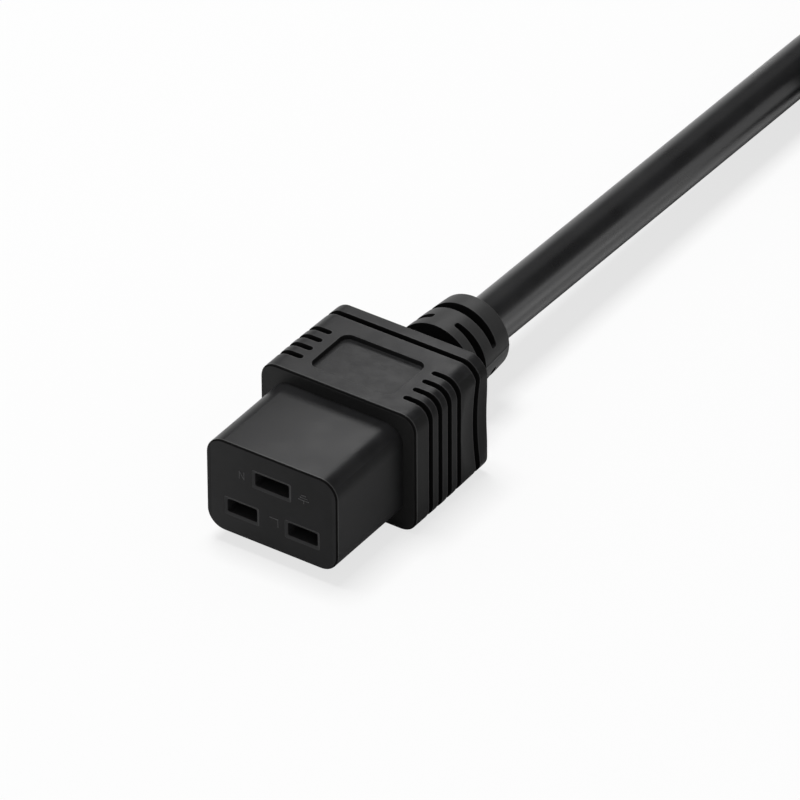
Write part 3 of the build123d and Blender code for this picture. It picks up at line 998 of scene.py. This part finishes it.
@dataclass
class FaceMarks:
    """Small raised strokes beside the slots, on the mating face.

    A stroke has a start and an end, each across and up. Round both it shrinks to a blunt tip, at places that
    are shares of its half width.
    """

    half_width: float = 0.1
    height: float = 0.07
    tip_places: tuple = (-1.0, -0.87, -0.5, 0.0)
    bluntness: float = 0.99
    side_turn: int = 45
    tip_faces: tuple = ((0, 1, 2, 3), (0, 3, 4, 7), (4, 5, 6, 7))
    strokes: tuple = (
        (-6.85, 15.65, -6.85, 17.15),
        (-6.85, 17.15, -5.85, 15.65),
        (-5.85, 15.65, -5.85, 17.15),
        (6.5, 17.25, 7.4, 17.25),
        (6.2, 16.75, 7.7, 16.75),
        (5.9, 16.25, 8.0, 16.25),
        (6.95, 16.25, 6.95, 15.6),
        (-0.4, 9.74, 1.35, 9.74),
        (1.35, 9.74, 1.35, 8.15),
    )

    def build(self) -> Piece:
        """Make every stroke as a slender pill that is half sunk in the face.

        Along a stroke the section is an ellipse, which shrinks over both ends as a half circle does.

        Returns:
            The strokes, in one piece.
        """
        strokes = np.array(self.strokes)
        start, end = strokes[:, :2], strokes[:, 2:]
        along = (end - start) / np.linalg.norm(end - start, axis=1, keepdims=True)
        beside = np.column_stack([-along[:, 1], along[:, 0]])
        past = np.array(self.tip_places)
        shrink = np.sqrt(1 - np.minimum(np.abs(past), self.bluntness) ** 2)
        first = start[:, None, :] + along[:, None, :] * past[:, None] * self.half_width
        last = end[:, None, :] - along[:, None, :] * past[::-1, None] * self.half_width
        middle = np.concatenate([first, last], axis=1)[:, :, None, :]
        size = np.concatenate([shrink, shrink[::-1]])[None, :, None]
        turn = np.radians(np.arange(0, 360, self.side_turn))[None, None, :]
        flat = middle + (self.half_width * size * np.cos(turn))[..., None] * beside[:, None, None, :]
        raised = np.broadcast_to(FACE - self.height * size * np.sin(turn), flat.shape[:3])
        points = np.stack([flat[..., 0], raised, flat[..., 1]], axis=-1)
        rows, sides = points.shape[1:3]
        tip = np.array(self.tip_faces)
        faces = [grid_faces(rows, sides, False), tip[:, ::-1], tip + (rows - 1) * sides]
        before = np.arange(len(strokes))[:, None, None] * rows * sides
        faces = (np.concatenate(faces)[None] + before).reshape(-1, 4)
        piece = mesh_object("face_marks", points.reshape(-1, 3), faces)
        Finish.MARK.dress(piece)
        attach(piece, "root")
        LOG.info("face marks: %d strokes", len(strokes))
        return piece


@dataclass
class Lead:
    """Round lead: out of the strain relief, into a neat coil and on to the plug beside it."""

    diameter: float = 9.4
    length: float = 1200.0
    exit_point: Triple = (0.0, 32.25, AXIS)
    section_share: float = 1.012
    section_steps: int = 10
    steps_between_points: int = 8
    points_per_turn: int = 16
    inside_share: float = 0.981
    run_points: tuple = (
        (0.0, 7.0, 12.55),
        (0.0, 20.0, 12.55),
        (0.0, 33.0, 12.15),
        (0.0, 137.0, 9.17),
        (0.0, 152.0, 8.77),
        (0.0, 166.0, 4.7),
    )
    tail_points: tuple = (
        (92.64, 144.96, 14.1),
        (89.9, 129.5, 14.1),
        (89.6, 113.5, 12.55),
        (89.6, 95.25, 12.55),
    )
    turned: tuple = (0, 295, 360, 600, 665, 895, 960, 1110, 1140, 1170, 1285)
    plan_radii: tuple = (51.7, 51.7, 42.3, 42.3, 42.3, 42.3, 42.3, 42.3, 48.95, 51.7, 51.7)
    heights: tuple = (4.7, 4.7, 4.7, 4.7, 14.1, 14.1, 23.5, 23.5, 20.75, 14.1, 14.1)

    def coil_points(self) -> Array:
        """Control points of the turns, worked out from the angle turned since the coil's left side.

        The lead winds clockwise seen from above. Plan radius and height follow the angle turned in straight
        stretches between the places in the tables. The control points stand out by the share that a spline
        passes inside them.

        Returns:
            Points in millimetres.
        """
        step = 360.0 / self.points_per_turn
        low, high = (np.array(corner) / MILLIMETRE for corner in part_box("cord_coil"))
        centre = (low + high) / 2
        angle = np.arange(step / 2, self.turned[-1] + step / 4, step)
        radius = np.interp(angle, self.turned, self.plan_radii) / self.inside_share
        height = np.interp(angle, self.turned, self.heights)
        facing = np.radians(180.0 - angle)
        x = centre[0] + radius * np.cos(facing)
        y = centre[1] + radius * np.sin(facing)
        return np.column_stack([x, y, height])

    def build(self, plug_pieces: list[Piece]) -> Piece:
        """Args:
            plug_pieces: The pieces at its far end; not used.

        Returns:
            The lead.
        """
        points = metres(np.vstack([self.run_points, self.coil_points(), self.tail_points]))
        curve = bpy.data.curves.new("lead", "CURVE")
        curve.dimensions = "3D"
        curve.resolution_u = self.steps_between_points
        curve.bevel_depth = self.section_share * self.diameter * MILLIMETRE / 2
        curve.bevel_resolution = self.section_steps
        curve.use_fill_caps = True
        spline = curve.splines.new("NURBS")
        spline.points.add(len(points) - 1)
        spline.points.foreach_set("co", np.column_stack([points, np.ones(len(points))]).ravel())
        spline.order_u = 3
        spline.use_endpoint_u = True
        lead = bpy.data.objects.new("lead", curve)
        bpy.context.scene.collection.objects.link(lead)
        Finish.JACKET.dress(lead)
        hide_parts("cord_run", "cord_coil", "cord_tail")
        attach(lead, "root")
        LOG.info("lead: %d control points", len(points))
        return lead


@dataclass(frozen=True)
class Lamp:
    """Rectangular soft lamp at a place, facing a point, of a size in millimetres and a power in watts."""

    name: str
    place: Triple
    towards: Triple
    size: tuple[float, float]
    power: float

    def hang(self) -> Piece:
        """Put the lamp in the scene.

        Returns:
            The lamp.
        """
        light = bpy.data.lights.new(self.name, "AREA")
        light.shape = "RECTANGLE"
        light.size, light.size_y = (side * MILLIMETRE for side in self.size)
        light.energy = self.power
        lamp = bpy.data.objects.new(self.name, light)
        lamp.location = Vector(metres(self.place))
        facing = Vector(metres(self.towards)) - lamp.location
        lamp.rotation_euler = facing.to_track_quat("-Z", "Y").to_euler()
        bpy.context.scene.collection.objects.link(lamp)
        return lamp

    def show_only_in(self, pieces: list[Piece]) -> None:
        """Hang the lamp as a mere reflection, unseen by the camera and without light on anything else.

        Args:
            pieces: The pieces whose gloss shows it.
        """
        lamp = self.hang()
        lamp.visible_camera = lamp.visible_diffuse = False
        lamp.light_linking.receiver_collection = bpy.data.collections.new(self.name)
        for piece in pieces:
            lamp.light_linking.receiver_collection.objects.link(piece)


@dataclass
class Studio:
    """Camera at the photograph's angle, a pale floor and soft overhead light.

    A panel behind the object is seen only in the satin of its mouldings. A wider, dimmer one is seen only in
    the lead's jacket, and so is a strip beside the lead, where the coil would be seen instead.
    """

    azimuth: float = 34.304
    elevation: float = 35.395
    roll: float = -0.324
    distance: float = 1928.27
    aim: Triple = (0.948, 6.836, AXIS)
    lens: float = 484.35
    sensor_width: float = 36.0
    clip: tuple[float, float] = (0.1, 20.0)
    floor_size: float = 8000.0
    floor_shade: float = 0.9
    floor_shade_unseen: float = 0.35
    background: float = 0.98
    glow_share: float = 0.75
    backdrop_top: tuple[float, float] = (0.28, 0.38)
    ceiling: float = 0.1
    even_light: float = 0.25
    overhead: Lamp = Lamp("overhead", (-350, 80, 2200), (0, 60, 0), (900, 900), 45.0)
    back_panel: Lamp = Lamp("back_panel", (-500, 1150, 1150), (0, 30, 12), (900, 600), 10.6)
    side_strip: Lamp = Lamp("side_strip", (12, 88, 12.8), (0, 88, 12.8), (108, 9), 0.0036)
    wide_panel: Lamp = Lamp("wide_panel", (-560, 1150, 1150), (0, 90, 12), (1300, 600), 0.8)

    def place_camera(self) -> None:
        """Point the camera along its azimuth and elevation, at its distance from the aim point."""
        camera = bpy.data.objects.new("camera", bpy.data.cameras.new("camera"))
        camera.data.lens = self.lens
        camera.data.sensor_width = self.sensor_width
        camera.data.clip_start, camera.data.clip_end = self.clip
        turn = Matrix.Rotation(radians(self.azimuth), 4, "Z")
        tilt = Matrix.Rotation(radians(90.0 - self.elevation), 4, "X")
        lean = Matrix.Rotation(radians(self.roll), 4, "Z")
        back = (turn @ tilt).to_3x3() @ Vector((0.0, 0.0, self.distance * MILLIMETRE))
        camera.matrix_world = Matrix.Translation(Vector(metres(self.aim)) + back) @ (turn @ tilt @ lean)
        bpy.context.scene.collection.objects.link(camera)
        bpy.context.scene.camera = camera

    def lay_floor(self) -> None:
        """Pale floor: part of it glows for the eye, so that the object's shadow stays light."""
        half = self.floor_size / 2
        corners = np.array([(-half, -half, 0), (half, -half, 0), (half, half, 0), (-half, half, 0)])
        floor = mesh_object("floor", corners, np.array([[0, 1, 2, 3]]))
        material = bpy.data.materials.new("pale_floor")
        wiring = Wiring(material)
        wiring.nodes.remove(wiring.nodes["Principled BSDF"])
        matt, dull = (
            wiring.add("ShaderNodeBsdfDiffuse", {"Color": (shade, shade, shade)}).outputs["BSDF"]
            for shade in (self.floor_shade, self.floor_shade_unseen)
        )
        light = {"Color": WHITE, "Strength": self.background}
        glow = wiring.add("ShaderNodeEmission", light).outputs["Emission"]
        eye = wiring.add("ShaderNodeLightPath").outputs["Is Camera Ray"]
        seen = wiring.mixed(wiring.calculated("MULTIPLY", eye, self.glow_share), matt, glow)
        surface = wiring.mixed(wiring.eye_or_mirror(), dull, seen)
        wiring.feed(wiring.nodes["Material Output"], {"Surface": surface})
        floor.data.materials.append(material)

    def fill_world(self) -> None:
        """White surroundings to just above the horizon, a dim ceiling, and a dim even light for the rest."""
        world = bpy.data.worlds.new("studio")
        bpy.context.scene.world = world
        wiring = Wiring(world)
        towards = wiring.add("ShaderNodeTexCoord").outputs["Generated"]
        up = wiring.add("ShaderNodeSeparateXYZ", {"Vector": towards}).outputs["Z"]
        seen = wiring.spread(up, self.background, self.ceiling, self.backdrop_top, "SMOOTHSTEP")
        strength = wiring.spread(wiring.eye_or_mirror(), self.even_light, seen, (0.0, 1.0))
        wiring.feed(wiring.nodes["Background"], {"Color": WHITE, "Strength": strength})

    def build(self, mouldings: list[Piece], lead: Piece) -> None:
        """Set up camera, floor, surroundings and lamps.

        Args:
            mouldings: The pieces that the panel behind the object is seen in.
            lead: The piece that the strip beside it is seen in.
        """
        self.place_camera()
        self.lay_floor()
        self.fill_world()
        self.overhead.hang()
        self.back_panel.show_only_in(mouldings)
        self.side_strip.show_only_in([lead])
        self.wide_panel.show_only_in([lead])
        LOG.info("studio: camera, floor and lamps")


class CarriedNodes:
    """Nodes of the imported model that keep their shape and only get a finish."""

    sleeves = {"line": Finish.BROWN, "neutral": Finish.BLUE, "earth": Finish.GREEN_YELLOW}

    def dress(self) -> None:
        """Give every node its finish, the cores and conductors at both ends of the lead alike."""
        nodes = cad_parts
        Finish.NOSE.dress(nodes["nose_housing"], nodes["plug_shroud"])
        Finish.MOULD.dress(nodes["inner_mould"], nodes["plug_inner_mould"])
        for pole, sleeve in self.sleeves.items():
            Finish.BRASS.dress(nodes[f"{pole}_contact"])
            Finish.NICKEL.dress(nodes[f"plug_{pole}_pin"])
            sleeve.dress(nodes[f"{pole}_insulation"], nodes[f"plug_{pole}_insulation"])
            Finish.COPPER.dress(nodes[f"{pole}_conductor"], nodes[f"plug_{pole}_conductor"])
        LOG.info("carried nodes dressed")


def main() -> None:
    """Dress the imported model, lay its lead and light it."""
    logging.basicConfig(level=logging.INFO, format="%(message)s")
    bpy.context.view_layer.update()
    bpy.context.scene.view_settings.view_transform = "Standard"
    CarriedNodes().dress()
    grip = GripMoulding("grip", "grip_overmould", True).build()
    plug_grip = GripMoulding("grip_of_plug", "plug_grip", False).build()
    plug_nodes = [piece for name, piece in sorted(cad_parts.items()) if name.startswith("plug_")]
    plug_pieces = [piece for piece in plug_nodes if not piece.hide_render] + [plug_grip]
    FaceMarks().build()
    lead = Lead().build(plug_pieces)
    Studio().build([grip, plug_grip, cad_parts["nose_housing"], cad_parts["plug_shroud"]], lead)


if __name__ == "__main__":
    main()
